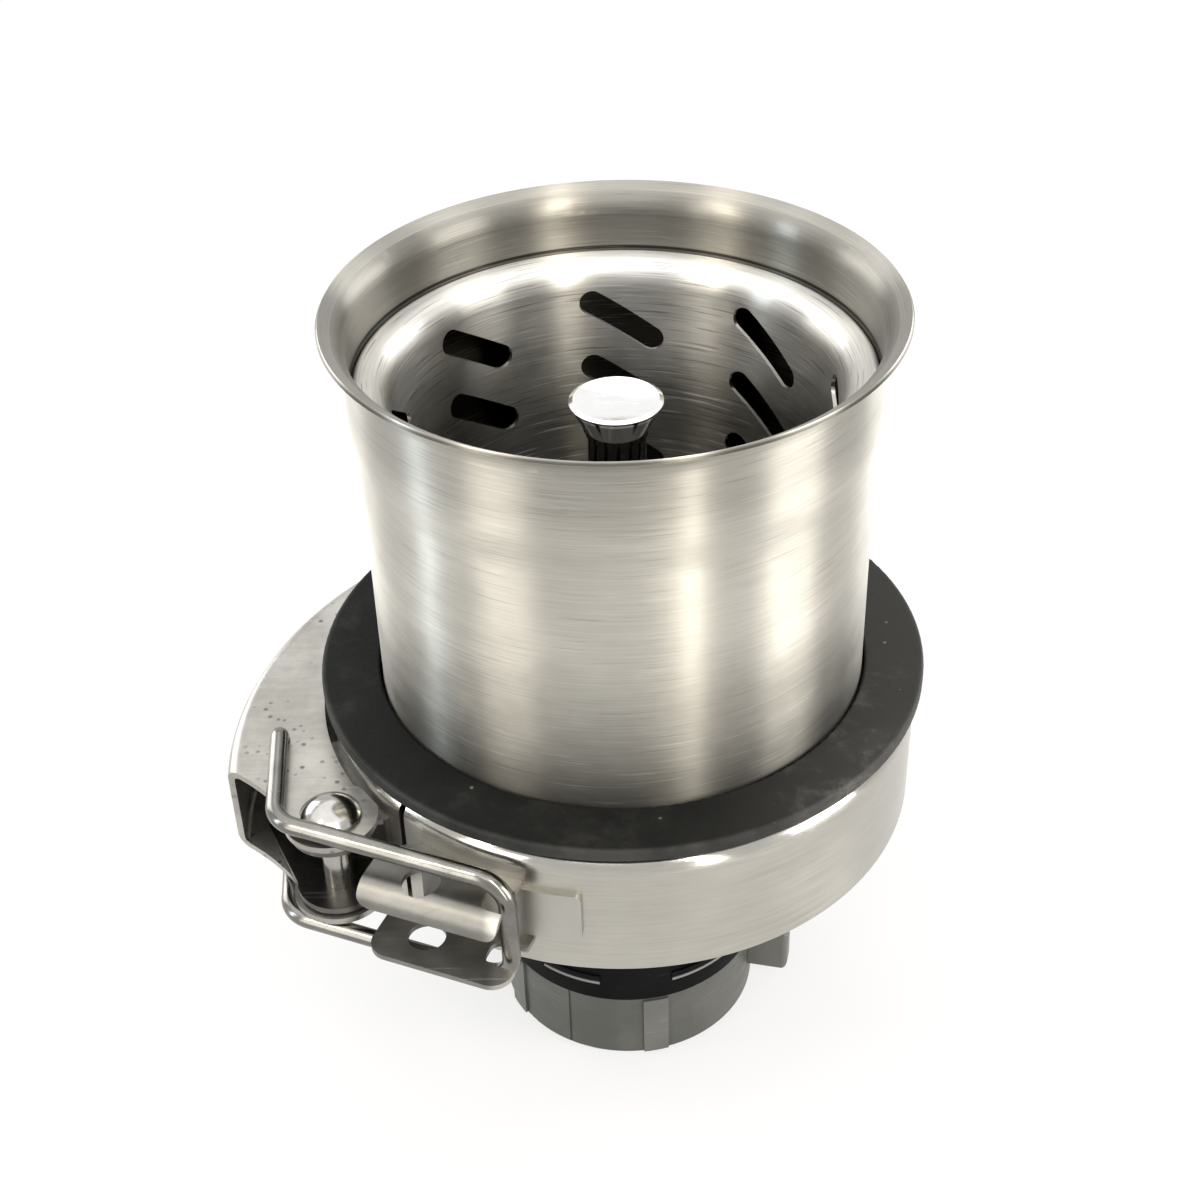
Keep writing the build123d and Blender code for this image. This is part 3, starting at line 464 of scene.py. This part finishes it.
def seen_white(tree):
    """One for camera, glossy and transmission rays, which see the white background, else nothing."""
    path = tree.nodes.new("ShaderNodeLightPath")
    seen = path.outputs["Is Camera Ray"]
    for kind in ("Is Glossy Ray", "Is Transmission Ray"):
        either = tree.nodes.new("ShaderNodeMath")
        either.operation = "MAXIMUM"
        tree.links.new(seen, either.inputs[0])
        tree.links.new(path.outputs[kind], either.inputs[1])
        seen = either.outputs[0]
    return seen


def make_floor():
    """A plain pale floor that keeps the object's shadow and shows white to the camera."""
    mesh = bpy.data.meshes.new("floor")
    corners = [(sx * FLOOR_HALF, sy * FLOOR_HALF, 0) for sx, sy in ((-1, -1), (1, -1), (1, 1), (-1, 1))]
    mesh.from_pydata(corners, [], [(0, 1, 2, 3)])
    floor = bpy.data.objects.new("floor", mesh)
    scene.collection.objects.link(floor)
    floor.location.z = -FLOOR_DROP
    m = Nodes("floor_white")
    grain = m.noise(m.place, scale=FLOOR_WAVES)
    m.set(color=m.mix(grain, *FLOOR_TONES), rough=FLOOR_ROUGHNESS, specular=FLOOR_GLOSS)
    glow = m.tree.nodes.new("ShaderNodeEmission")
    glow.inputs["Strength"].default_value = 1.0
    x, y, _ = m.axes()
    share = m.times(seen_white(m.tree), m.remap(m.from_axis(x, y), *FLOOR_WHITE))
    blend = m.tree.nodes.new("ShaderNodeMixShader")
    for socket, source in zip(blend.inputs, (share, m.shader.outputs[0], glow.outputs[0])):
        m.join(source, socket)
    m.join(blend.outputs[0], m.out.inputs[0])
    mesh.materials.append(m.material)


def make_world():
    """A white background for the camera and in reflections, and a soft fill elsewhere."""
    world = bpy.data.worlds.new("studio")
    scene.world = world
    world.use_nodes = True
    tree = world.node_tree
    back = tree.nodes["Background"]
    mix = tree.nodes.new("ShaderNodeMix")
    mix.data_type = "RGBA"
    mix.inputs["A"].default_value = FILL
    mix.inputs["B"].default_value = WHITE
    tree.links.new(seen_white(tree), mix.inputs["Factor"])
    tree.links.new(mix.outputs["Result"], back.inputs["Color"])
    back.inputs["Strength"].default_value = 1.0


def make_lamp(name, place, aim_height, size, power, color):
    """A rectangular area lamp that points at the axis."""
    data = bpy.data.lights.new(name, "AREA")
    data.shape = "RECTANGLE"
    data.size, data.size_y = size
    data.energy = power
    data.color = color
    lamp = bpy.data.objects.new(name, data)
    lamp.location = place
    lamp.rotation_mode = "QUATERNION"
    lamp.rotation_quaternion = (Vector((0, 0, aim_height)) - Vector(place)).to_track_quat("-Z", "Y")
    scene.collection.objects.link(lamp)


def make_camera():
    """The photograph's view, without lens shift."""
    yaw, pitch, roll = CAMERA_YAW, CAMERA_PITCH, CAMERA_ROLL
    place = Vector(CAMERA_PLACE)
    ahead = Vector((math.sin(yaw) * math.cos(pitch), math.cos(yaw) * math.cos(pitch), -math.sin(pitch)))
    level = Vector((math.cos(yaw), -math.sin(yaw), 0))
    above = level.cross(ahead)
    right = level * math.cos(roll) + above * math.sin(roll)
    up = above * math.cos(roll) - level * math.sin(roll)
    data = bpy.data.cameras.new("photo_camera")
    data.sensor_fit = "AUTO"
    data.sensor_width = SENSOR_MM
    data.lens = SENSOR_MM * FOCAL_PIXELS / PHOTO_PIXELS
    data.clip_start = CLIP_START
    camera = bpy.data.objects.new("photo_camera", data)
    turn = Matrix((right, up, -ahead)).transposed()
    camera.matrix_world = Matrix.Translation(place) @ turn.to_4x4()
    scene.collection.objects.link(camera)
    scene.camera = camera


# Most metal colours are darker than the bare steel: painted dark reflections in place of a darker surrounding
materials = {
    # The tube: darker towards the bottom, painted shade dimming the reflections on its upper outside and
    # standing in for dark reflections inside, painted shade on the rim's cut edge and a painted shadow at the
    # seam
    "strainer_body": brushed(
        "steel_tube", dark=(0.424, 0.405, 0.358), light=(0.545, 0.525, 0.473), rough=0.37, grain=0.95,
        marks=0.12, lines=3200.0, darker_below=(0.158, 0.108, 0.8), dark_outside=(0.176, 0.187, 0.3),
        inside=(0.58, -0.016, -0.04), edge=0.0606, seam=0.1777),
    # The basket: painted shade low down and on what faces the axis, standing in for dark reflections, and
    # darker on its outside
    "basket": brushed(
        "steel_basket", dark=(0.62, 0.6, 0.55), light=(0.85, 0.83, 0.785), rough=0.36, grain=0.95,
        marks=0.3, darker_below=(0.175, 0.148, 0.82), dark_outside=(0.0, 0.01, 0.6), inside=(0.45, -0.032, -0.045)),
    "clamp_band": brushed(
        "steel_band", dark=(0.395, 0.38, 0.342), light=(0.475, 0.461, 0.421), rough=0.32, grain=0.6,
        marks=0.05, lines=1600.0, shoulder=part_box("clamp_band")[1][2]),
    "latch_lever": rolled(
        "steel_lever", dark=(0.29, 0.279, 0.254), light=(0.44, 0.425, 0.391), rough=0.44, scratch=0.08,
        pits=0.9),
    # The catch's tab end carries a painted reflection that lightens it
    "catch_bracket": rolled(
        "steel_catch", dark=(0.165, 0.16, 0.145), light=(0.245, 0.238, 0.22), rough=0.47, scratch=0.03,
        bright_from=-0.03),
    "pivot_bracket": rolled(
        "steel_bracket", dark=(0.1, 0.096, 0.088), light=(0.17, 0.165, 0.152), rough=0.36, scratch=0.05),
    "pivot_rivet": polished("steel_rivet", dark=(0.36, 0.35, 0.325), light=(0.48, 0.47, 0.445), rough=0.16),
    "wire_bail": polished("steel_wire", dark=(0.165, 0.16, 0.146), light=(0.235, 0.229, 0.212), rough=0.2),
    "post_washer": rolled(
        "steel_hardware", dark=(0.4, 0.39, 0.36), light=(0.5, 0.49, 0.46), rough=0.28, scratch=0.1),
    # The knob's cone and the post below its rim carry a painted dark reflection of the basket
    "lifting_knob": polished(
        "chrome_knob", dark=(0.9, 0.897, 0.885), light=(0.98, 0.978, 0.965), rough=0.06,
        dark_reflection_below=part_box("lifting_knob")[1][2] - KNOB_RIM),
    "seat_gasket": rubber("rubber_black", edge=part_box("seat_gasket")[1][0]),
    "outlet_cup": moulded(
        "plastic_black", dark=(0.003, 0.003, 0.0033), light=(0.006, 0.006, 0.0063), rough=0.45, dust=0.03,
        gloss=0.04, paler_from=0.0328, paler_below=0.0266, paler_share=0.6),
    "coupling_nut": moulded(
        "plastic_grey", dark=(0.064, 0.066, 0.06), light=(0.09, 0.092, 0.084), rough=0.42, dust=0.2,
        gloss=0.3, paler_from=0.032, paler_below=0.03, paler_share=0.12),
}
same_as = {
    "basket_post": "lifting_knob",
    "rivet_washer_upper": "post_washer",
    "rivet_washer_lower": "post_washer",
    "post_screw": "post_washer",
    "flange_seal": "seat_gasket",
    "cone_washer": "seat_gasket",
}
for name, piece in nodes.items():
    piece.data.materials.clear()
    piece.data.materials.append(materials[same_as.get(name, name)])

make_floor()
make_world()
for values in LAMPS:
    make_lamp(*values)
make_camera()
scene.view_settings.view_transform = "Standard"
